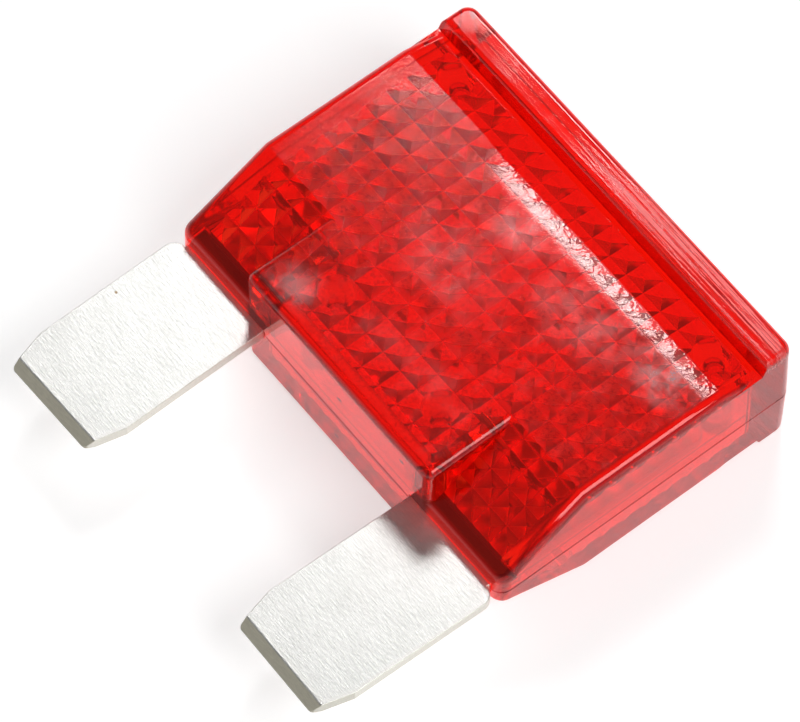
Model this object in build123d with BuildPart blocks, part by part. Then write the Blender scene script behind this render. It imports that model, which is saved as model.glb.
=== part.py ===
from build123d import *

import os
from math import atan2, ceil, cos

# Large automotive blade fuse: two moulded half covers welded round one stamped fuse element.
# It lies on its back: X across the blades, blades towards -Y, front face up.

# ---- fuse element: one stamped sheet ----
sheet = 0.8
blade_width = 8.0
blade_length = 12.6
blade_pitch = 21.5
toe_in = 1.0
tip_taper_length = 2.6
tip_taper_width = 0.68
tip_corner = 0.3
nose_bevel_length = 0.65
nose_bevel_depth = 0.32
shoulder_gap = 0.1
shoulder_radius = 0.8
neck_side_gap = 0.1
neck_root = 0.6
leg_inner_step = 0.4
leg_outer_step = 0.75
leg_radius = 0.8
leg_end_gap = 2.95
link_width = 2.0
link_drop = 1.6
link_post_gap = 1.65
link_half_span = 2.8
link_bend = 1.2
link_root = 0.6
weak_width = 0.9
weak_radius = 1.5

# ---- housing: depths from the weld seam, lengths from the wall the blades come out of ----
body_height = 21.5
front_depth = 4.75
back_depth = 4.2
blade_side_margin = 0.05
side_draft = 1.2
plan_radius = 0.9
edge_radius = 0.7
seam_chamfer = 0.06

# ---- sloped corners above and below the blades, and the full-depth block between them ----
block_overhang = 1.65
block_radius = 0.55
block_root = 4.0
ramp_run = 6.25
ramp_foot = 1.3

# ---- groove and grip ridge across the head ----
slope_run = 2.65
groove_drop = 0.7
groove_to_ridge = 0.4
ridge_width = 2.05
ridge_proud = 0.15
ridge_radius = 0.45
ridge_root = 0.6

# ---- inside of the covers: wall thicknesses and the grid of small pyramids ----
side_wall = 1.4
end_wall = 1.5
head_wall = 2.75
face_wall = 1.7
ramp_wall = 0.9
step_wall = 1.5
cavity_radius = 0.4
cell = 1.535
pyramid_height = 0.45
pyramid_flat = 0.08

# ---- posts with pegs and sockets that locate the covers on each other ----
post_radius = 1.15
head_post_inset = 1.8
head_post_drop = 1.05
foot_post_inset = 2.0
foot_post_rise = 2.3
post_root = 0.3
peg_radius = 0.6
peg_reach = 1.4
peg_lead = 0.15
peg_clearance = 0.05

# ---- values that follow from the sizes above ----
body_width = blade_pitch + blade_width + 2 * blade_side_margin
overall_length = body_height + blade_length
wall_y = overall_length / 2 - body_height
seam_z = back_depth + ridge_proud
blade_x = blade_pitch / 2
neck_inner = blade_x - blade_width / 2
neck_outer = blade_x + blade_width / 2 - shoulder_radius
block_half_width = neck_inner + block_overhang
ridge_start = body_height - ridge_width
groove_y = ridge_start - groove_to_ridge
slope_start = groove_y - slope_run
cavity_half_width = body_width / 2 - side_wall
cavity_end = body_height - head_wall
core_half_width = block_half_width - step_wall
leg_inner = neck_inner - leg_inner_step
leg_outer = neck_outer - leg_outer_step
leg_end = cavity_end - leg_end_gap
head_post = (cavity_half_width - head_post_inset, cavity_end - head_post_drop)
foot_post = (neck_inner - foot_post_inset, end_wall + foot_post_rise)
post_points = [(side * x, y) for side in (-1, 1) for x, y in (head_post, foot_post)]
link_top = leg_end - link_drop
link_bottom = foot_post[1] + post_radius + link_post_gap + link_width / 2
leg_start = end_wall + shoulder_gap
neck_foot = -shoulder_gap - neck_root
front_frame = Plane(origin=(0, wall_y, seam_z))
back_frame = Plane(origin=(0, wall_y, seam_z), x_dir=(-1, 0, 0), z_dir=(0, 0, -1))
far = 2 * body_width + 2 * body_height


def teeth(half_length, height):
    """Outline of a block whose top edge is a row of blunt teeth with a valley on every cell line."""
    half_count = ceil(half_length / cell)
    points = [(-half_count * cell, -far), (-half_count * cell, height)]
    for index in range(-half_count, half_count):
        middle = (index + 0.5) * cell
        points.append((middle - pyramid_flat / 2, height - pyramid_height))
        points.append((middle + pyramid_flat / 2, height - pyramid_height))
        points.append((middle + cell / 2, height))
    return points + [(half_count * cell, -far)]


def half_cover(depth):
    """One half cover in its own frame: weld face on XY, outer face up, blade-side wall at Y = 0."""
    ramp_angle = atan2(depth - ramp_foot, ramp_run)
    lining = depth - face_wall
    ramp_lining = ramp_foot - ramp_wall / cos(ramp_angle)
    wide_start = (lining - ramp_lining) / (depth - ramp_foot) * ramp_run

    with BuildPart() as slab:
        with BuildSketch(Plane.YZ) as slab_side:
            with BuildLine() as slab_line:
                Polyline(
                    (0, 0),
                    (0, ramp_foot),
                    (ramp_run, depth),
                    (slope_start, depth),
                    (groove_y, depth - groove_drop),
                    (groove_y + ridge_root, depth - groove_drop),
                    (groove_y + ridge_root, 0),
                    close=True,
                )
            make_face()
        extrude(amount=body_width, both=True)
        with BuildSketch() as slab_plan:
            with Locations((0, body_height / 2)):
                RectangleRounded(body_width, body_height, plan_radius)
        extrude(amount=depth, taper=side_draft, mode=Mode.INTERSECT)
        rim = slab.edges().filter_by(lambda e: e.center().Z > ramp_foot / 2)
        rim = rim.filter_by(lambda e: e.center().Y < groove_y)
        rim = rim.filter_by(lambda e: abs(e.center().X) > block_half_width or e.center().Y < plan_radius)
        fillet(rim, edge_radius)

    with BuildPart() as block:
        with BuildSketch() as block_plan:
            with Locations((0, (ramp_run + block_root) / 2)):
                Rectangle(2 * block_half_width, ramp_run + block_root)
            fillet(block_plan.vertices().group_by(Axis.Y)[0], block_radius)
        extrude(amount=depth)
        block_rim = block.faces().sort_by(Axis.Z)[-1].edges()
        fillet(block_rim.sort_by(Axis.Y)[:-1], block_radius)

    with BuildPart() as head:
        with BuildSketch(Plane.YZ) as head_side:
            with BuildLine() as head_line:
                Polyline(
                    (groove_y, 0),
                    (groove_y, depth - groove_drop),
                    (ridge_start, depth + ridge_proud),
                    (body_height, depth + ridge_proud),
                    (body_height, 0),
                    close=True,
                )
            make_face()
        extrude(amount=body_width, both=True)
        with BuildSketch() as head_plan:
            with Locations((0, body_height / 2)):
                RectangleRounded(body_width, body_height, plan_radius)
        extrude(amount=depth + ridge_proud, taper=side_draft, mode=Mode.INTERSECT)
        fillet(head.faces().sort_by(Axis.Z)[-1].edges(), ridge_radius)

    with BuildPart() as envelope:
        with BuildSketch() as envelope_plan:
            with Locations((0, body_height / 2)):
                RectangleRounded(body_width, body_height, plan_radius)
        extrude(amount=depth + ridge_proud)
        chamfer(envelope.faces().sort_by(Axis.Z)[0].edges(), seam_chamfer)

    with BuildPart() as cavity:
        with BuildSketch(Plane.XZ) as cavity_across:
            with BuildLine() as across_line:
                Polyline(*teeth(cavity_half_width, lining), close=True)
            make_face()
        extrude(amount=-body_height)
        with BuildSketch(Plane.YZ) as cavity_along:
            with BuildLine() as along_line:
                Polyline(*[(cavity_end + y, z) for y, z in teeth(cavity_end, lining)], close=True)
            make_face()
        extrude(amount=cavity_half_width, both=True)
        with BuildSketch() as cavity_plan:
            with Locations((0, (end_wall + cavity_end) / 2)):
                Rectangle(2 * core_half_width, cavity_end - end_wall)
            with Locations((0, (wide_start + cavity_end) / 2)):
                Rectangle(2 * cavity_half_width, cavity_end - wide_start)
            fillet(cavity_plan.vertices().group_by(Axis.Y)[0], cavity_radius)
            fillet(cavity_plan.vertices().group_by(Axis.Y)[-1], cavity_radius)
        extrude(amount=depth, mode=Mode.INTERSECT)

    ramp_frame = Plane(origin=(0, 0, ramp_lining), x_dir=(1, 0, 0), z_dir=(0, -ramp_run, ramp_foot - depth))
    pocket_x = (core_half_width + cavity_half_width - cavity_radius) / 2
    pocket_length = wide_start - end_wall + cavity_radius
    pocket_y = end_wall + pocket_length / 2
    with BuildPart() as pocket:
        with BuildSketch(ramp_frame) as pocket_across:
            with BuildLine() as pocket_line:
                Polyline(*teeth(cavity_half_width, 0), close=True)
            make_face()
        extrude(amount=far, both=True)
        with BuildSketch(Plane(ramp_frame.origin, x_dir=-ramp_frame.z_dir, z_dir=(1, 0, 0))) as pocket_along:
            with BuildLine() as pocket_rows:
                Polyline(*teeth(body_height, 0), close=True)
            make_face()
        extrude(amount=body_width, both=True)
        with BuildSketch() as pocket_plan:
            with Locations((-pocket_x, pocket_y), (pocket_x, pocket_y)):
                Rectangle(cavity_half_width - core_half_width + cavity_radius, pocket_length)
        extrude(amount=depth, mode=Mode.INTERSECT)

    with BuildPart() as cover:
        add(slab.part)
        add(block.part)
        add(head.part)
        add(envelope.part, mode=Mode.INTERSECT)
        add(cavity.part, mode=Mode.SUBTRACT)
        add(pocket.part, mode=Mode.SUBTRACT)
        with BuildSketch() as post_plan:
            with Locations(*post_points):
                Circle(post_radius)
        extrude(amount=lining + post_root)
        with BuildSketch() as slot_plan:
            slot_width = neck_outer - neck_inner + 2 * neck_side_gap
            slot_x = (neck_outer + neck_inner) / 2
            with Locations((-slot_x, 0), (slot_x, 0)):
                Rectangle(slot_width, 2 * end_wall + cavity_radius)
        extrude(amount=sheet / 2, mode=Mode.SUBTRACT)
    return cover.part


front_half = half_cover(front_depth)
back_half = half_cover(back_depth)

with BuildPart(front_frame) as front_cover:
    add(front_half)
    with BuildSketch(front_frame) as peg_plan:
        with Locations(*post_points):
            Circle(peg_radius)
    extrude(amount=-peg_reach)
    chamfer(front_cover.faces().sort_by(Axis.Z)[: len(post_points)].edges(), peg_lead)

with BuildPart(back_frame) as back_cover:
    add(back_half)
    with BuildSketch(back_frame) as socket_plan:
        with Locations(*post_points):
            Circle(peg_radius + peg_clearance)
    extrude(amount=peg_reach + peg_clearance, mode=Mode.SUBTRACT)

bevel_frames = []
for side in (-1, 1):
    blade_frame = Plane(Location((side * blade_x, wall_y - shoulder_gap, seam_z), (0, 0, -side * toe_in)))
    bevel_frames.append(Plane(blade_frame.origin, x_dir=blade_frame.y_dir, z_dir=blade_frame.x_dir))

half_blade = blade_width / 2
half_tip = half_blade - tip_taper_width
tip_y = shoulder_gap - blade_length
taper_y = tip_y + tip_taper_length
half_sheet = sheet / 2

with BuildPart() as fuse_element:
    with BuildSketch(front_frame) as blades:
        for side in (-1, 1):
            with Locations(Location((side * blade_x, -shoulder_gap, 0), (0, 0, -side * toe_in))):
                Polygon(
                    (-half_blade, 0),
                    (half_blade, 0),
                    (half_blade, taper_y),
                    (half_tip, tip_y),
                    (-half_tip, tip_y),
                    (-half_blade, taper_y),
                    align=None,
                )
        shoulders = blades.vertices().sort_by(Axis.X)
        fillet([shoulders[0], shoulders[-1]], shoulder_radius)
        fillet(blades.vertices().sort_by(Axis.Y)[:4], tip_corner)
    extrude(amount=half_sheet, both=True)
    with BuildSketch(*bevel_frames) as nose_bevels:
        for face in (-1, 1):
            Polygon(
                (tip_y + nose_bevel_length, face * half_sheet),
                (tip_y + nose_bevel_length, face * sheet),
                (tip_y - nose_bevel_length, face * sheet),
                (tip_y - nose_bevel_length, face * (half_sheet - 2 * nose_bevel_depth)),
                align=None,
            )
    extrude(amount=blade_width, both=True, mode=Mode.SUBTRACT)
    with BuildSketch(front_frame) as legs:
        for side in (-1, 1):
            with Locations((side * (neck_inner + neck_outer) / 2, (leg_start + neck_foot) / 2)):
                Rectangle(neck_outer - neck_inner, leg_start - neck_foot)
            with Locations((side * (leg_inner + leg_outer) / 2, (leg_start + leg_end) / 2)):
                Rectangle(leg_outer - leg_inner, leg_end - leg_start)
        fillet(legs.vertices().group_by(Axis.Y)[-1], leg_radius)
        with BuildLine() as link_path:
            FilletPolyline(
                (-leg_inner - link_root, link_top),
                (-link_half_span, link_top),
                (-link_half_span, link_bottom),
                (link_half_span, link_bottom),
                (link_half_span, link_top),
                (leg_inner + link_root, link_top),
                radius=link_bend,
            )
        trace(link_path.edges(), line_width=link_width)
        with Locations(*[(0, link_bottom + up * (weak_width / 2 + weak_radius)) for up in (-1, 1)]):
            Circle(weak_radius, mode=Mode.SUBTRACT)
    extrude(amount=half_sheet, both=True)

os.makedirs("parts", exist_ok=True)
front_cover.part.label = "front_cover"
export_step(front_cover.part, "parts/front_cover.step")
back_cover.part.label = "back_cover"
export_step(back_cover.part, "parts/back_cover.step")
fuse_element.part.label = "fuse_element"
export_step(fuse_element.part, "parts/fuse_element.step")
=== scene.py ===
"""Looks of a large automotive blade fuse: clear red covers welded round a satin plated element."""

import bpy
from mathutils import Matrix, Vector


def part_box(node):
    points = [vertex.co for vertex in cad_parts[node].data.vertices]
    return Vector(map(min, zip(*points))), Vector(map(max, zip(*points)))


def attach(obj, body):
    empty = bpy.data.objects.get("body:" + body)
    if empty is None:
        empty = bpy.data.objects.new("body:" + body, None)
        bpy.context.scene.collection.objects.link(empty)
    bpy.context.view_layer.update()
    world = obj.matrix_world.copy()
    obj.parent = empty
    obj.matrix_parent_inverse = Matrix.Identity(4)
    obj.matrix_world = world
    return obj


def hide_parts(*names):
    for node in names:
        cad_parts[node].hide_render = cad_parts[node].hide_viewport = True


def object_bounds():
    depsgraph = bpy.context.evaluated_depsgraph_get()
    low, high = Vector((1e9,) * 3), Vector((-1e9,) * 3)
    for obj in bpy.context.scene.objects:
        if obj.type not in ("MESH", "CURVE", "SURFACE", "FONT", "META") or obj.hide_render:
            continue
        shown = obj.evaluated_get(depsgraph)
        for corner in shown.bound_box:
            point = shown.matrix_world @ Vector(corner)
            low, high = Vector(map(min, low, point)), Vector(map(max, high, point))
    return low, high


bl_info = {
    "name": "Blade fuse looks",
    "version": (1, 0, 0),
    "blender": (4, 5, 0),
    "location": "3D View > Sidebar > Blade Fuse",
    "description": "Finishes the welded housing and the stamped element of a large blade fuse",
    "category": "Object",
}

from math import cos, pi, radians, sin

import bmesh
import bpy
from mathutils import Vector

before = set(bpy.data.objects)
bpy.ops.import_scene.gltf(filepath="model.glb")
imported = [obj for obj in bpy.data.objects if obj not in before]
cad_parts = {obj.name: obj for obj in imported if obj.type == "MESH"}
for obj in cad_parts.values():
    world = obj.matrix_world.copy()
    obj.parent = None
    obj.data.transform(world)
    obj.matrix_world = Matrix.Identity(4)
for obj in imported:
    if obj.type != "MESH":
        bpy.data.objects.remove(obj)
CAD_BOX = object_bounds()
MM = 0.001

# The blade-side wall and the weld seam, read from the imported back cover, in metres.
BACK_LOW, BACK_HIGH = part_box("back_cover")
WALL_Y = BACK_LOW.y
SEAM_Z = BACK_HIGH.z

# Mesh work. Distances are in metres and angles in degrees: doubles nearer than the first are merged, edges
# shorter than the second are closed up. Faces of any piece that turn by less than the facet angle become one
# face, and those of the element by less than its own.
DOUBLE = 0.0005 * MM
SLIVER = 0.0002 * MM
FACET_FLAT = 0.1
ELEMENT_FLAT = 0.5

# An edge that turns by more than these is drawn sharp, and by more than the last one is rounded, in degrees.
HOUSING_SHARP = 28.0
ELEMENT_SHARP = 40.0
ROUNDED_OVER = 20.0

# A face larger than this is a flat one, which keeps its own normal; the facets of a rounding are smaller.
FLAT_AREA = 1.2 * MM * MM

# Places on the housing, in millimetres: X from the middle, Y from the blade-side wall, Z from the weld seam.
OUTER_FACE = (3.9, 4.1)
SLOPE_LINE = (16.6, 16.3)
RIDGE_LINE = (19.2, 19.6)
RIDGE_FACE = (4.0, 4.3)
GRIPPED_SIDE = (-5.0, 5.0)
ROLL_OFF_START = 14.9
ROLL_OFF_SIDE = (-7.0, -3.0)
GROOVE_LINE = (18.4, 18.0)
ABOVE_SEAM = (1.0, 1.3)
SEAM_BAND = (0.16, 0.05)
WALL_SKIN = (0.25, 0.1)
CORNER_WALL = (0.5, 0.1)
CORNER_SIDE = (8.0, 8.6)
FACE_Z = 4.75
NOSE_FLECK = (-14.0, -5.1, 0.4)

# Hazy patches on the front face: middle, reach and strength, and how soft and ragged their edges are.
HAZE_PATCHES = (
    ((4.5, 15.9, FACE_Z), (10.0, 1.1, 1.0), 0.9),
    ((-1.0, 14.6, FACE_Z), (2.8, 2.4, 1.0), 0.9),
    ((11.6, 14.4, FACE_Z), (3.2, 2.6, 1.0), 1.0),
    ((6.0, 13.2, FACE_Z), (5.5, 2.6, 1.0), 0.4),
    ((-1.5, 9.5, FACE_Z), (4.5, 3.0, 1.0), 0.35),
    ((-6.0, 1.8, FACE_Z), (2.4, 1.8, 1.0), 0.8),
    ((2.0, 4.0, FACE_Z), (6.0, 1.6, 1.0), 0.18),
)
HAZE_SOFT = 0.9
HAZE_RAGGED = 0.7

# Dark specks in the blade-side wall, and the flash that the weld left along it.
WALL_SPECKS = ((0.3, 0.0, 2.4), (6.0, 0.0, 3.3), (0.0, 0.0, -2.4))
SPECK_REACH = (0.3, 0.3, 0.2)
FLASH_CENTRE = (0.9, 0.0, -0.05)
FLASH_REACH = (7.5, 1.0, 0.36)
FLECK_REACH = (0.13, 0.11, 0.3)

# How nearly level a face is, as the upright part of its normal: flat, rounded, and the element's cut edges.
LEVEL = (0.985, 0.996)
ROUNDED_FROM = (0.15, 0.4)
ROUNDED_TO = (0.85, 0.8)
CUT_EDGE = (0.97, 0.9)

# Colours that stay with the housing and the element; the edge shade and the two glows among them are painted
# light.
WELD_COLOUR = (0.22, 0.004, 0.004)
SPECK_COLOUR = (0.02, 0.0, 0.0)
SPECKLE_COLOUR = (0.42, 0.02, 0.01)
# painted shade for the rounded outer edges of the housing
EDGE_SHADE_COLOUR = (0.5, 0.012, 0.006)
# painted glow, given out by the housing as emission: a faint one all over and a stronger one in the corners
# over the blades
PAINTED_GLOW = (0.03, 0.0, 0.0)
PAINTED_CORNER_GLOW = (0.3, 0.004, 0.002)
FLECK_COLOUR = (0.45, 0.33, 0.2)

# The stage: half the floor's side and the gap under the fuse in metres, and the point the camera looks at.
FLOOR_HALF = 1.5
FLOOR_GAP = 0.02 * MM
SENSOR_WIDTH = 36.0
TARGET = Vector((-0.548 * MM, WALL_Y + 5.051 * MM, SEAM_Z))

# Soft lamps: side in metres, azimuth and elevation in degrees, and distance from the target in metres.
KEY_LAMP = (0.12, 223.0, 51.0, 0.6)
SIDE_LAMP = (0.45, 100.0, 50.0, 0.9)
SIDE_RADIANCE = 5.0


# ---- settings a user would change ----


class FuseHousingSettings(bpy.types.PropertyGroup):
    """The moulded covers"""

    tint: bpy.props.FloatVectorProperty(
        name="Plastic tint",
        description="Colour that a thick wall of the plastic turns to",
        subtype="COLOR",
        size=3,
        min=0.0,
        max=1.0,
        default=(0.975, 0.25, 0.1),
    )
    skin: bpy.props.FloatVectorProperty(
        name="Plastic body colour",
        description="Colour of the pigment, seen in a thin wall",
        subtype="COLOR",
        size=3,
        min=0.0,
        max=1.0,
        default=(1.0, 0.07, 0.02),
    )
    density: bpy.props.FloatProperty(
        name="Tint strength", description="Absorption per metre of plastic", default=500.0, min=0.0
    )
    gloss: bpy.props.FloatProperty(
        name="Polished roughness",
        description="Roughness of the polished walls",
        default=0.06,
        min=0.0,
        max=1.0,
    )
    matte: bpy.props.FloatProperty(
        name="Textured roughness",
        description="Roughness of the spark-eroded front face",
        default=0.1,
        min=0.0,
        max=1.0,
    )
    haze: bpy.props.FloatProperty(
        name="Haze roughness", description="Roughness of the hazy film", default=0.34, min=0.0, max=1.0
    )


class FuseElementSettings(bpy.types.PropertyGroup):
    """The stamped element"""

    plating: bpy.props.FloatVectorProperty(
        name="Plating",
        description="Colour of the plated faces",
        subtype="COLOR",
        size=3,
        min=0.0,
        max=1.0,
        default=(0.97, 0.96, 0.93),
    )
    sheared: bpy.props.FloatVectorProperty(
        name="Sheared edge",
        description="Colour of the coined nose and the cut edges",
        subtype="COLOR",
        size=3,
        min=0.0,
        max=1.0,
        default=(0.6, 0.57, 0.46),
    )
    edge_radius: bpy.props.FloatProperty(
        name="Edge rounding",
        description="Rounding of the stamped edges",
        unit="LENGTH",
        default=0.05 * MM,
        min=0.0,
    )


class FuseStageSettings(bpy.types.PropertyGroup):
    """Floor, lamps and camera"""

    azimuth: bpy.props.FloatProperty(
        name="Camera azimuth", description="Turn of the camera round the fuse", default=51.72
    )
    elevation: bpy.props.FloatProperty(
        name="Camera elevation", description="Height of the camera above the horizon", default=61.32
    )
    distance: bpy.props.FloatProperty(
        name="Camera distance", description="From the camera to its target", unit="LENGTH", default=0.379
    )
    lens: bpy.props.FloatProperty(name="Lens", description="Focal length in millimetres", default=298.4)
    key: bpy.props.FloatProperty(
        name="Key light", description="Brightness of the large soft lamp", default=15.5, min=0.0
    )
    fill: bpy.props.FloatProperty(
        name="Fill light", description="Brightness of the surroundings", default=0.12, min=0.0
    )


# ---- helpers for shader trees ----


def add_node(tree, kind, **values):
    """A node of that kind, with its attributes and sockets set by name."""
    node = tree.nodes.new(kind)
    for key, value in values.items():
        if hasattr(node, key):
            setattr(node, key, value)
        else:
            node.inputs[key.replace("_", " ")].default_value = value
    return node


def link(tree, source, target):
    """Joins an output socket to an input socket."""
    tree.links.new(source, target)


def math_node(tree, operation, first, second=None, clamp=False):
    """A Math node fed by sockets or plain numbers; returns its output."""
    node = tree.nodes.new("ShaderNodeMath")
    node.operation = operation
    node.use_clamp = clamp
    for socket, value in zip(node.inputs, (first, second)):
        if isinstance(value, bpy.types.NodeSocket):
            link(tree, value, socket)
        elif value is not None:
            socket.default_value = value
    return node.outputs[0]


def mix_color(tree, mask, low, high):
    """Mixes two colours (sockets or tuples) by a mask; returns the colour output."""
    node = tree.nodes.new("ShaderNodeMix")
    node.data_type = "RGBA"
    for socket, value in ((node.inputs[0], mask), (node.inputs[6], low), (node.inputs[7], high)):
        if isinstance(value, bpy.types.NodeSocket):
            link(tree, value, socket)
        else:
            socket.default_value = (*value, 1.0)
    return node.outputs[2]


def mix_value(tree, mask, low, high):
    """Mixes two numbers (sockets or floats) by a mask; returns the value output."""
    node = tree.nodes.new("ShaderNodeMix")
    for socket, value in ((node.inputs[0], mask), (node.inputs[2], low), (node.inputs[3], high)):
        if isinstance(value, bpy.types.NodeSocket):
            link(tree, value, socket)
        else:
            socket.default_value = value
    return node.outputs[0]


def new_group(name, inputs, outputs):
    """A shader node group with named sockets; returns the tree and its two end nodes."""
    tree = bpy.data.node_groups.new(name, "ShaderNodeTree")
    for socket, kind, default in inputs:
        made = tree.interface.new_socket(name=socket, in_out="INPUT", socket_type=kind)
        made.default_value = default
    for socket, kind in outputs:
        tree.interface.new_socket(name=socket, in_out="OUTPUT", socket_type=kind)
    return tree, tree.nodes.new("NodeGroupInput"), tree.nodes.new("NodeGroupOutput")


def place_group(tree, group, vector, **values):
    """Puts a node group into a material, fed by a vector and plain values."""
    node = tree.nodes.new("ShaderNodeGroup")
    node.node_tree = group
    link(tree, vector, node.inputs["Vector"])
    for key, value in values.items():
        node.inputs[key.replace("_", " ")].default_value = value
    return node


def soft_patch_group():
    """A rounded patch with a ragged, soft edge: 1 at its centre, 0 outside."""
    group = bpy.data.node_groups.get("soft_patch")
    if group:
        return group
    group, start, end = new_group(
        "soft_patch",
        [
            ("Vector", "NodeSocketVector", (0.0, 0.0, 0.0)),
            ("Centre", "NodeSocketVector", (0.0, 0.0, 0.0)),
            ("Reach", "NodeSocketVector", (1.0, 1.0, 1.0)),
            ("Softness", "NodeSocketFloat", 0.4),
            ("Ragged", "NodeSocketFloat", 0.0),
            ("Wander", "NodeSocketFloat", 0.0),
        ],
        [("Mask", "NodeSocketFloat")],
    )
    offset = add_node(group, "ShaderNodeVectorMath", operation="SUBTRACT")
    link(group, start.outputs["Vector"], offset.inputs[0])
    link(group, start.outputs["Centre"], offset.inputs[1])
    share = add_node(group, "ShaderNodeVectorMath", operation="DIVIDE")
    link(group, offset.outputs[0], share.inputs[0])
    link(group, start.outputs["Reach"], share.inputs[1])
    length = add_node(group, "ShaderNodeVectorMath", operation="LENGTH")
    link(group, share.outputs[0], length.inputs[0])
    wander = math_node(group, "MULTIPLY", start.outputs["Wander"], start.outputs["Ragged"])
    reach = math_node(group, "ADD", length.outputs["Value"], wander)
    inside = math_node(group, "SUBTRACT", 1.0, reach)
    inside = math_node(group, "DIVIDE", inside, start.outputs["Softness"], clamp=True)
    smooth = add_node(group, "ShaderNodeMapRange", interpolation_type="SMOOTHSTEP")
    link(group, inside, smooth.inputs["Value"])
    link(group, smooth.outputs["Result"], end.inputs["Mask"])
    return group


def wander_noise(tree, place, scale):
    """Slow noise round zero, which makes the edge of a patch ragged."""
    noise = add_node(tree, "ShaderNodeTexNoise", Scale=scale, Detail=3.0)
    link(tree, place, noise.inputs["Vector"])
    return math_node(tree, "SUBTRACT", noise.outputs["Fac"], 0.5)


def patch_mask(tree, place, wander, centre, reach, softness, ragged):
    """The mask of one soft patch, its edge made ragged by the wander noise."""
    patch = place_group(tree, soft_patch_group(), place, Centre=centre, Reach=reach)
    patch.inputs["Softness"].default_value = softness
    patch.inputs["Ragged"].default_value = ragged
    link(tree, wander, patch.inputs["Wander"])
    return patch.outputs["Mask"]


def streak_group():
    """Fine parallel scratches or rolling grain: noise drawn out along one axis."""
    group = bpy.data.node_groups.get("fine_streaks")
    if group:
        return group
    group, start, end = new_group(
        "fine_streaks",
        [
            ("Vector", "NodeSocketVector", (0.0, 0.0, 0.0)),
            ("Stretch", "NodeSocketVector", (1.0, 1.0, 1.0)),
            ("Low", "NodeSocketFloat", 0.4),
            ("High", "NodeSocketFloat", 0.6),
        ],
        [("Mask", "NodeSocketFloat"), ("Grain", "NodeSocketFloat")],
    )
    drawn = add_node(group, "ShaderNodeVectorMath", operation="MULTIPLY")
    link(group, start.outputs["Vector"], drawn.inputs[0])
    link(group, start.outputs["Stretch"], drawn.inputs[1])
    noise = add_node(group, "ShaderNodeTexNoise", Scale=1.0, Detail=4.0, Roughness=0.65)
    link(group, drawn.outputs[0], noise.inputs["Vector"])
    cut = add_node(group, "ShaderNodeMapRange")
    link(group, noise.outputs["Fac"], cut.inputs["Value"])
    link(group, start.outputs["Low"], cut.inputs["From Min"])
    link(group, start.outputs["High"], cut.inputs["From Max"])
    link(group, cut.outputs["Result"], end.inputs["Mask"])
    link(group, noise.outputs["Fac"], end.inputs["Grain"])
    return group


def local_millimetres(tree):
    """Object coordinates in millimetres from the blade-side wall, the middle and the weld seam."""
    place = add_node(tree, "ShaderNodeTexCoord")
    shift = add_node(tree, "ShaderNodeVectorMath", operation="SUBTRACT")
    shift.inputs[1].default_value = (0.0, WALL_Y, SEAM_Z)
    link(tree, place.outputs["Object"], shift.inputs[0])
    scale = add_node(tree, "ShaderNodeVectorMath", operation="SCALE")
    scale.inputs["Scale"].default_value = 1.0 / MM
    link(tree, shift.outputs[0], scale.inputs[0])
    return scale.outputs[0]


def ramp_mask(tree, value, low, high):
    """0 below low, 1 above high, smooth between; low may be the larger for a falling mask."""
    node = add_node(tree, "ShaderNodeMapRange", interpolation_type="SMOOTHSTEP")
    link(tree, value, node.inputs["Value"])
    node.inputs["From Min"].default_value = low
    node.inputs["From Max"].default_value = high
    return node.outputs["Result"]


def new_material(name):
    """An empty node material with its Principled shader and output joined."""
    material = bpy.data.materials.new(name)
    material.use_nodes = True
    tree = material.node_tree
    tree.nodes.clear()
    shader = tree.nodes.new("ShaderNodeBsdfPrincipled")
    output = tree.nodes.new("ShaderNodeOutputMaterial")
    link(tree, shader.outputs["BSDF"], output.inputs["Surface"])
    return material, tree, shader, output


# ---- materials ----


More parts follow.
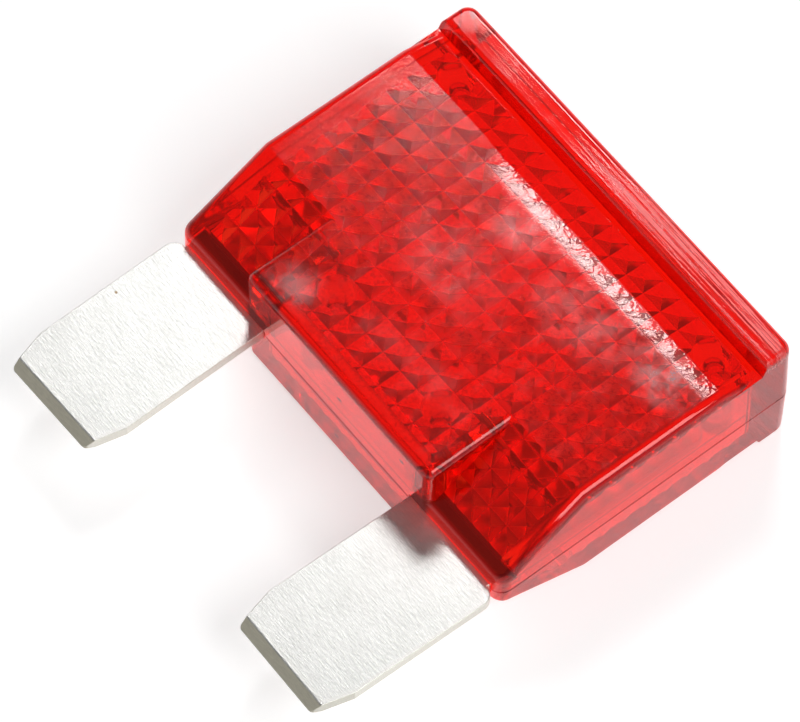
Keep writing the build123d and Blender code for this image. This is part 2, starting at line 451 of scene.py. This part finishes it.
def clear_red_plastic(settings):
    """Clear red moulding: polished walls, textured front face, hazy patches, scuffed ridge, weld line."""
    material, tree, shader, output = new_material("clear_red_plastic")
    place = local_millimetres(tree)
    split = add_node(tree, "ShaderNodeSeparateXYZ")
    link(tree, place, split.inputs[0])
    x, y, z = split.outputs
    normal = add_node(tree, "ShaderNodeNewGeometry")
    facing = add_node(tree, "ShaderNodeSeparateXYZ")
    link(tree, normal.outputs["Normal"], facing.inputs[0])
    lean = math_node(tree, "ABSOLUTE", facing.outputs[2])
    outward = math_node(tree, "ABSOLUTE", z)
    aside = math_node(tree, "ABSOLUTE", x)

    # the flat outer faces, front and back, carry the spark-eroded texture
    level = ramp_mask(tree, lean, *LEVEL)
    textured = math_node(tree, "MULTIPLY", level, ramp_mask(tree, outward, *OUTER_FACE))
    textured = math_node(tree, "MULTIPLY", textured, ramp_mask(tree, y, *SLOPE_LINE))

    # hazy patches, strongest along the head end of the face and at one corner of the block
    haze = None
    wander = wander_noise(tree, place, 0.35)
    for centre, reach, strength in HAZE_PATCHES:
        spot = patch_mask(tree, place, wander, centre, reach, HAZE_SOFT, HAZE_RAGGED)
        share = math_node(tree, "MULTIPLY", spot, strength)
        haze = share if haze is None else math_node(tree, "MAXIMUM", haze, share)
    haze = math_node(tree, "MULTIPLY", haze, textured)
    mottle = add_node(tree, "ShaderNodeTexNoise", Scale=0.8, Detail=3.0, Roughness=0.7)
    link(tree, place, mottle.inputs["Vector"])
    film = mix_value(tree, ramp_mask(tree, mottle.outputs["Fac"], 0.38, 0.62), 0.25, 1.0)
    haze = math_node(tree, "MULTIPLY", haze, film)

    # the ridge is scuffed lengthwise where it is gripped
    ridge = ramp_mask(tree, y, *RIDGE_LINE)
    on_ridge = math_node(tree, "MULTIPLY", ridge, ramp_mask(tree, outward, *RIDGE_FACE))
    scratch = place_group(tree, streak_group(), place, Stretch=(0.08, 5.0, 2.0), Low=0.47, High=0.56)
    worn_side = ramp_mask(tree, x, *GRIPPED_SIDE)
    scuff = math_node(tree, "MULTIPLY", on_ridge, scratch.outputs["Mask"])
    scuff = math_node(tree, "MULTIPLY", scuff, mix_value(tree, worn_side, 0.04, 1.0))

    # light handling marks everywhere
    marks = place_group(tree, streak_group(), place, Stretch=(1.3, 0.5, 0.9), Low=0.5, High=0.72)

    roughness = mix_value(tree, textured, settings.gloss, settings.matte)
    roughness = mix_value(tree, scuff, roughness, 0.4)
    marks_part = math_node(tree, "MULTIPLY", marks.outputs["Mask"], 0.06)
    roughness = math_node(tree, "ADD", roughness, marks_part, clamp=True)
    link(tree, roughness, shader.inputs["Roughness"])

    # uneven weld flash on the blade-side wall, the seam all round, and small dark specks in the wall
    wander = wander_noise(tree, place, 0.9)
    flash = patch_mask(tree, place, wander, FLASH_CENTRE, FLASH_REACH, 0.3, 1.1)
    weld = math_node(tree, "MULTIPLY", flash, ramp_mask(tree, y, *WALL_SKIN))
    seam = math_node(tree, "MULTIPLY", ramp_mask(tree, outward, *SEAM_BAND), 0.75)
    weld = math_node(tree, "MAXIMUM", math_node(tree, "MULTIPLY", weld, 0.95), seam)
    specks = None
    wander = wander_noise(tree, place, 5.0)
    for centre in WALL_SPECKS:
        speck = patch_mask(tree, place, wander, centre, SPECK_REACH, 0.6, 0.6)
        specks = speck if specks is None else math_node(tree, "MAXIMUM", specks, speck)
    colour = mix_color(tree, weld, tuple(settings.skin), WELD_COLOUR)
    colour = mix_color(tree, specks, colour, SPECK_COLOUR)

    # the eroded texture speckles the light that comes up through the face
    speckle = add_node(tree, "ShaderNodeTexNoise", Scale=4.5, Detail=4.0, Roughness=0.75)
    link(tree, place, speckle.inputs["Vector"])
    speckled = math_node(tree, "MULTIPLY", ramp_mask(tree, speckle.outputs["Fac"], 0.45, 0.66), textured)
    speckled = math_node(tree, "MULTIPLY", speckled, 0.75)
    colour = mix_color(tree, speckled, colour, SPECKLE_COLOUR)

    # painted shade: the rounded outer edges are darkened in the base colour, standing in for the deepest red
    # that the long light path through their solid plastic gives
    rounded = ramp_mask(tree, lean, *ROUNDED_FROM)
    rounded = math_node(tree, "MULTIPLY", rounded, ramp_mask(tree, lean, *ROUNDED_TO))
    rounded = math_node(tree, "MULTIPLY", rounded, ramp_mask(tree, y, *GROOVE_LINE))
    rounded = math_node(tree, "MULTIPLY", rounded, ramp_mask(tree, outward, *ABOVE_SEAM))
    colour = mix_color(tree, rounded, colour, EDGE_SHADE_COLOUR)
    link(tree, colour, shader.inputs["Base Color"])

    # texture, scratches and slow waves of the moulded skin
    grain = add_node(tree, "ShaderNodeTexNoise", Scale=14.0, Detail=3.0)
    link(tree, place, grain.inputs["Vector"])
    waves = add_node(tree, "ShaderNodeTexNoise", Scale=0.22, Detail=1.0)
    link(tree, place, waves.inputs["Vector"])
    height = math_node(tree, "MULTIPLY", grain.outputs["Fac"], mix_value(tree, textured, 0.0, 0.0022))
    cut = math_node(tree, "MULTIPLY", scuff, -0.006)
    height = math_node(tree, "ADD", height, cut)
    swell = math_node(tree, "MULTIPLY", waves.outputs["Fac"], 0.025)
    height = math_node(tree, "ADD", height, swell)
    # the flat face rolls off towards the slope, more on the side where the tool was polished back
    past = math_node(tree, "MAXIMUM", math_node(tree, "SUBTRACT", y, ROLL_OFF_START), 0.0)
    roll = math_node(tree, "MULTIPLY", math_node(tree, "MULTIPLY", past, past), textured)
    polished = mix_value(tree, ramp_mask(tree, x, *ROLL_OFF_SIDE), 0.0, 0.05)
    uneven = mix_value(tree, ramp_mask(tree, mottle.outputs["Fac"], 0.3, 0.7), 0.75, 1.15)
    roll = math_node(tree, "MULTIPLY", math_node(tree, "MULTIPLY", roll, polished), uneven)
    height = math_node(tree, "SUBTRACT", height, roll)
    bump = add_node(tree, "ShaderNodeBump", Strength=1.0, Distance=MM)
    link(tree, height, bump.inputs["Height"])
    link(tree, bump.outputs["Normal"], shader.inputs["Normal"])

    film = math_node(tree, "MAXIMUM", haze, math_node(tree, "MULTIPLY", scuff, 0.7))
    link(tree, film, shader.inputs["Coat Weight"])
    # painted glow: emission makes the corners over the blades glow, standing in for light caught in their
    # solid plastic that shows back through their low walls, and puts a faint red glow on the rest of the
    # housing
    corner = ramp_mask(tree, y, *CORNER_WALL)
    corner = math_node(tree, "MULTIPLY", corner, ramp_mask(tree, aside, *CORNER_SIDE))
    link(tree, mix_color(tree, corner, PAINTED_GLOW, PAINTED_CORNER_GLOW), shader.inputs["Emission Color"])
    shader.inputs["Emission Strength"].default_value = 1.0
    shader.inputs["Specular IOR Level"].default_value = 0.3
    shader.inputs["Coat Roughness"].default_value = settings.haze
    shader.inputs["Coat IOR"].default_value = 2.0
    shader.inputs["Transmission Weight"].default_value = 0.94
    shader.inputs["IOR"].default_value = 1.52
    absorb = tree.nodes.new("ShaderNodeVolumeAbsorption")
    absorb.inputs["Color"].default_value = (*settings.tint, 1.0)
    absorb.inputs["Density"].default_value = settings.density
    link(tree, absorb.outputs["Volume"], output.inputs["Volume"])
    return material


def plated_metal(settings):
    """Satin tin plating with fine grain across the blades; coined nose and cut edges are bare and greyer."""
    material, tree, shader, output = new_material("plated_metal")
    place = local_millimetres(tree)
    normal = add_node(tree, "ShaderNodeNewGeometry")
    facing = add_node(tree, "ShaderNodeSeparateXYZ")
    link(tree, normal.outputs["Normal"], facing.inputs[0])
    upright = math_node(tree, "ABSOLUTE", facing.outputs[2])
    cut_edge = ramp_mask(tree, upright, *CUT_EDGE)
    forward = math_node(tree, "MULTIPLY", facing.outputs[1], -1.0)
    nose = math_node(tree, "MULTIPLY", cut_edge, ramp_mask(tree, forward, 0.2, 0.4))

    grain = place_group(tree, streak_group(), place, Stretch=(2.2, 11.0, 11.0), Low=0.35, High=0.7)
    blotch = add_node(tree, "ShaderNodeTexNoise", Scale=0.6, Detail=3.0)
    link(tree, place, blotch.inputs["Vector"])
    smear = ramp_mask(tree, blotch.outputs["Fac"], 0.2, 0.8)
    darker = tuple(0.9 * channel for channel in settings.plating)
    colour = mix_color(tree, grain.outputs["Mask"], tuple(settings.plating), darker)
    darker_edge = tuple(0.85 * channel for channel in settings.sheared)
    edge = mix_color(tree, grain.outputs["Mask"], tuple(settings.sheared), darker_edge)
    side_edge = mix_value(tree, nose, 0.45, 1.0)
    colour = mix_color(tree, math_node(tree, "MULTIPLY", cut_edge, side_edge), colour, edge)
    wander = wander_noise(tree, place, 6.0)
    fleck = patch_mask(tree, place, wander, NOSE_FLECK, FLECK_REACH, 0.5, 0.5)
    colour = mix_color(tree, fleck, colour, FLECK_COLOUR)
    link(tree, colour, shader.inputs["Base Color"])
    roughness = mix_value(tree, smear, 0.37, 0.41)
    roughness = mix_value(tree, nose, roughness, 0.5)
    link(tree, roughness, shader.inputs["Roughness"])
    height = math_node(tree, "MULTIPLY", grain.outputs["Grain"], 0.024)
    bump = add_node(tree, "ShaderNodeBump", Strength=0.5, Distance=MM)
    link(tree, height, bump.inputs["Height"])
    link(tree, bump.outputs["Normal"], shader.inputs["Normal"])
    link(tree, mix_value(tree, nose, 1.0, 0.15), shader.inputs["Metallic"])
    return material


def pale_floor():
    """White table: keeps the shadow, and shows white to the camera, to gloss and through clear plastic."""
    material, tree, shader, output = new_material("pale_floor")
    shader.inputs["Roughness"].default_value = 0.9
    grain = add_node(tree, "ShaderNodeTexNoise", Scale=900.0, Detail=2.0)
    place = add_node(tree, "ShaderNodeTexCoord")
    link(tree, place.outputs["Object"], grain.inputs["Vector"])
    colour = mix_color(tree, grain.outputs["Fac"], (0.84, 0.84, 0.84), (0.87, 0.87, 0.87))
    link(tree, colour, shader.inputs["Base Color"])
    path = tree.nodes.new("ShaderNodeLightPath")
    seen = math_node(tree, "ADD", path.outputs["Is Camera Ray"], path.outputs["Is Glossy Ray"], clamp=True)
    glow = add_node(tree, "ShaderNodeEmission")
    link(tree, math_node(tree, "MULTIPLY", seen, 0.55), glow.inputs["Strength"])
    both = tree.nodes.new("ShaderNodeAddShader")
    link(tree, shader.outputs["BSDF"], both.inputs[0])
    link(tree, glow.outputs["Emission"], both.inputs[1])
    lit = add_node(tree, "ShaderNodeEmission", Strength=1.0)
    through = tree.nodes.new("ShaderNodeMixShader")
    link(tree, path.outputs["Is Transmission Ray"], through.inputs[0])
    link(tree, both.outputs[0], through.inputs[1])
    link(tree, lit.outputs["Emission"], through.inputs[2])
    link(tree, through.outputs[0], output.inputs["Surface"])
    return material


def dress(piece, material):
    """Gives the piece that one material."""
    piece.data.materials.clear()
    piece.data.materials.append(material)


def merged_copy(name, *nodes):
    """A new piece holding those nodes' meshes with their doubles merged and their slivers closed up."""
    mesh = bpy.data.meshes.new(name)
    shape = bmesh.new()
    for node in nodes:
        shape.from_mesh(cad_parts[node].data)
    bmesh.ops.remove_doubles(shape, verts=shape.verts, dist=DOUBLE)
    bmesh.ops.dissolve_degenerate(shape, edges=shape.edges, dist=SLIVER)
    shape.to_mesh(mesh)
    shape.free()
    piece = bpy.data.objects.new(name, mesh)
    bpy.context.scene.collection.objects.link(piece)
    return piece


def smooth_round_faces(piece, angle):
    """Smooth shading on rounded faces only, weighted so that the flat faces beside them stay flat."""
    mesh = piece.data
    stored = mesh.attributes.get("custom_normal")
    if stored:
        mesh.attributes.remove(stored)
    shape = bmesh.new()
    shape.from_mesh(mesh)
    bmesh.ops.dissolve_limit(shape, angle_limit=radians(FACET_FLAT), verts=shape.verts, edges=shape.edges)
    for edge in shape.edges:
        edge.smooth = edge.calc_face_angle(pi) < angle
    for face in shape.faces:
        face.smooth = face.calc_area() < FLAT_AREA
    shape.to_mesh(mesh)
    shape.free()
    weighted = piece.modifiers.new("flat faces stay flat", "WEIGHTED_NORMAL")
    weighted.keep_sharp = True
    weighted.weight = 100


def bearing(azimuth, elevation):
    """The direction from the fuse to a point at that azimuth and elevation, given in degrees."""
    around, up = radians(azimuth), radians(elevation)
    return Vector((sin(around) * cos(up), -cos(around) * cos(up), sin(up)))


def soft_lamp(name, radiance, side, azimuth, elevation, distance):
    """A square soft lamp aimed at the target."""
    lamp = bpy.data.lights.new(name, "AREA")
    lamp.shape = "RECTANGLE"
    lamp.size = side
    lamp.size_y = side
    lamp.energy = radiance * pi * side * side
    piece = bpy.data.objects.new(name, lamp)
    away = bearing(azimuth, elevation)
    piece.location = TARGET + away * distance
    piece.rotation_euler = away.to_track_quat("Z", "Y").to_euler()
    bpy.context.scene.collection.objects.link(piece)


# ---- operators ----


class FUSE_OT_housing(bpy.types.Operator):
    """Weld the two clear red covers into one closed housing"""

    bl_idname = "fuse.housing"
    bl_label = "Welded housing"

    def execute(self, context):
        settings = context.scene.fuse_housing
        housing = merged_copy("welded_housing", "front_cover")
        back = merged_copy("back_half", "back_cover")
        weld = housing.modifiers.new("weld", "BOOLEAN")
        weld.operation = "UNION"
        weld.solver = "EXACT"
        weld.object = back
        graph = context.evaluated_depsgraph_get()
        joined = bpy.data.meshes.new_from_object(housing.evaluated_get(graph))
        housing.modifiers.clear()
        housing.data = joined
        bpy.data.objects.remove(back)
        if not joined.polygons:
            raise RuntimeError("the covers did not join")
        smooth_round_faces(housing, radians(HOUSING_SHARP))
        dress(housing, clear_red_plastic(settings))
        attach(housing, "root")
        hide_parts("front_cover", "back_cover")
        return {"FINISHED"}


class FUSE_OT_element(bpy.types.Operator):
    """Finish the stamped element: soft edges and satin plating"""

    bl_idname = "fuse.element"
    bl_label = "Stamped element"

    def execute(self, context):
        settings = context.scene.fuse_element
        element = merged_copy("stamped_element", "fuse_element")
        shape = bmesh.new()
        shape.from_mesh(element.data)
        flat = radians(ELEMENT_FLAT)
        bmesh.ops.dissolve_limit(shape, angle_limit=flat, verts=shape.verts, edges=shape.edges)
        shape.to_mesh(element.data)
        shape.free()
        rounding = element.modifiers.new("rounded edges", "BEVEL")
        rounding.width = settings.edge_radius
        rounding.segments = 2
        rounding.limit_method = "ANGLE"
        rounding.angle_limit = radians(ROUNDED_OVER)
        smooth_round_faces(element, radians(ELEMENT_SHARP))
        dress(element, plated_metal(settings))
        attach(element, "root")
        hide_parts("fuse_element")
        return {"FINISHED"}


class FUSE_OT_stage(bpy.types.Operator):
    """Lay the floor, hang the soft lamps and set the camera"""

    bl_idname = "fuse.stage"
    bl_label = "Stage"

    def execute(self, context):
        settings = context.scene.fuse_stage
        scene = context.scene
        mesh = bpy.data.meshes.new("floor")
        shape = bmesh.new()
        bmesh.ops.create_grid(shape, x_segments=2, y_segments=2, size=FLOOR_HALF)
        bmesh.ops.translate(shape, verts=shape.verts, vec=(0.0, 0.0, CAD_BOX[0].z - FLOOR_GAP))
        shape.to_mesh(mesh)
        shape.free()
        floor = bpy.data.objects.new("floor", mesh)
        scene.collection.objects.link(floor)
        dress(floor, pale_floor())

        lens = bpy.data.cameras.new("camera")
        lens.sensor_width = SENSOR_WIDTH
        lens.lens = settings.lens
        lens.clip_start = 0.01
        camera = bpy.data.objects.new("camera", lens)
        away = bearing(settings.azimuth, settings.elevation)
        camera.location = TARGET + away * settings.distance
        camera.rotation_euler = (-away).to_track_quat("-Z", "Y").to_euler()
        scene.collection.objects.link(camera)
        scene.camera = camera

        soft_lamp("key_lamp", settings.key, *KEY_LAMP)
        soft_lamp("side_lamp", SIDE_RADIANCE, *SIDE_LAMP)

        world = bpy.data.worlds.new("surroundings")
        scene.world = world
        world.use_nodes = True
        tree = world.node_tree
        tree.nodes.clear()
        place = tree.nodes.new("ShaderNodeTexCoord")
        split = add_node(tree, "ShaderNodeSeparateXYZ")
        link(tree, place.outputs["Generated"], split.inputs[0])
        above = ramp_mask(tree, split.outputs[2], 0.05, 0.55)
        sky = mix_value(tree, above, 1.0, settings.fill)
        path = tree.nodes.new("ShaderNodeLightPath")
        strength = mix_value(tree, path.outputs["Is Camera Ray"], sky, 1.0)
        glow = tree.nodes.new("ShaderNodeBackground")
        link(tree, strength, glow.inputs["Strength"])
        output = tree.nodes.new("ShaderNodeOutputWorld")
        link(tree, glow.outputs[0], output.inputs["Surface"])
        scene.view_settings.view_transform = "Standard"
        return {"FINISHED"}


class FUSE_PT_panel(bpy.types.Panel):
    """Blade fuse steps and settings"""

    bl_label = "Blade Fuse"
    bl_space_type = "VIEW_3D"
    bl_region_type = "UI"
    bl_category = "Blade Fuse"

    def draw(self, context):
        column = self.layout.column()
        for name in ("tint", "skin", "density", "gloss", "matte", "haze"):
            column.prop(context.scene.fuse_housing, name)
        for name in ("plating", "sheared", "edge_radius"):
            column.prop(context.scene.fuse_element, name)
        for name in ("azimuth", "elevation", "distance", "lens", "key", "fill"):
            column.prop(context.scene.fuse_stage, name)
        for step in ("fuse.housing", "fuse.element", "fuse.stage"):
            column.operator(step)


CLASSES = (
    FuseHousingSettings,
    FuseElementSettings,
    FuseStageSettings,
    FUSE_OT_housing,
    FUSE_OT_element,
    FUSE_OT_stage,
    FUSE_PT_panel,
)


def register():
    """Registers the classes and hangs their settings on the scene."""
    for item in CLASSES:
        bpy.utils.register_class(item)
    bpy.types.Scene.fuse_housing = bpy.props.PointerProperty(type=FuseHousingSettings)
    bpy.types.Scene.fuse_element = bpy.props.PointerProperty(type=FuseElementSettings)
    bpy.types.Scene.fuse_stage = bpy.props.PointerProperty(type=FuseStageSettings)


def unregister():
    """Removes what register added."""
    del bpy.types.Scene.fuse_stage
    del bpy.types.Scene.fuse_element
    del bpy.types.Scene.fuse_housing
    for item in reversed(CLASSES):
        bpy.utils.unregister_class(item)


def main():
    """Builds every piece and the stage."""
    register()
    bpy.ops.fuse.housing()
    bpy.ops.fuse.element()
    bpy.ops.fuse.stage()


if __name__ == "__main__":
    main()
